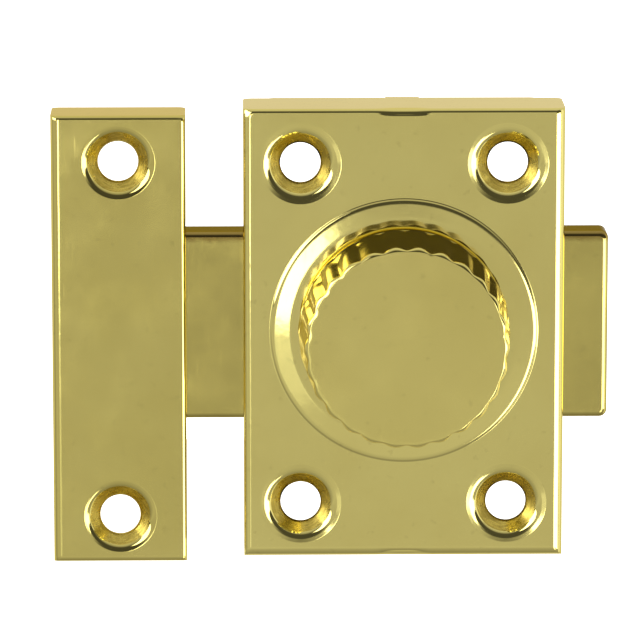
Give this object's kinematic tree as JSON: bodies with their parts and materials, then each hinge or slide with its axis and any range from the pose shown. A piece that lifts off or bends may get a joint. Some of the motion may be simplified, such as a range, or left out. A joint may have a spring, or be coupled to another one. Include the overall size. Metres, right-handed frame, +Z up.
{
  "type": "knob-operated rim bolt with keeper",
  "caption": "Surface-mounted cupboard bolt: a fluted turn knob drives a flat bolt through a pressed case into a separate box keeper.",
  "frame": {"origin": "where the knob's axis meets the case's rear face, which lies on the door; the case's middle is 0.5 mm below it", "axes": "+Z up, +X from the keeper towards the bolt's tail, +Y out of the case's rear face into the door; the knob faces -Y"},
  "size_m": [0.0736, 0.023, 0.0613],
  "materials": {
    "case_brass_plate": "bright polished brass plating on pressed steel",
    "keeper_brass_plate": "bright polished brass plating on pressed steel",
    "bolt_brass_plate": "brass plating, lightly rubbed where it slides",
    "knob_brass_plate": "bright polished brass plating on a drawn cap",
    "zinc_plated_steel": "zinc-plated steel",
    "spring_steel": "blued spring steel"
  },
  "bodies": {
    "case": {"case_cover": "case_brass_plate", "back_plate": "case_brass_plate", "guide_pin": "zinc_plated_steel", "spring_post_left": "zinc_plated_steel", "spring_post_right": "zinc_plated_steel", "detent_spring": "spring_steel", "spindle_bush": "zinc_plated_steel", "thrust_washer": "zinc_plated_steel", "wave_washer": "spring_steel"},
    "knob": {"knob_cap": "knob_brass_plate", "knob_base": "knob_brass_plate", "spindle": "zinc_plated_steel", "crank_plate": "zinc_plated_steel", "crank_pin": "zinc_plated_steel", "rivet_washer": "zinc_plated_steel"},
    "bolt": {"bolt": "bolt_brass_plate"},
    "keeper": {"keeper": "keeper_brass_plate"}
  },
  "joints": [
    {"name": "knob_turn", "type": "hinge", "parent": "case", "child": "knob", "pos_m": [0, 0, 0], "axis": [0, 1, 0], "range_deg": [0, 180]},
    {"name": "bolt_slide", "type": "slide", "parent": "case", "child": "bolt", "axis": [1, 0, 0], "range_m": [0, 0.014], "deforming": ["detent_spring"]},
    {"name": "keeper_release", "type": "slide", "parent": "case", "child": "keeper", "axis": [-1, 0, 0], "range_m": [0, 0.03]}
  ],
  "couplings": [
    {"joint": "knob_turn", "follows": "bolt_slide", "rad_per_m": 224.4}
  ]
}
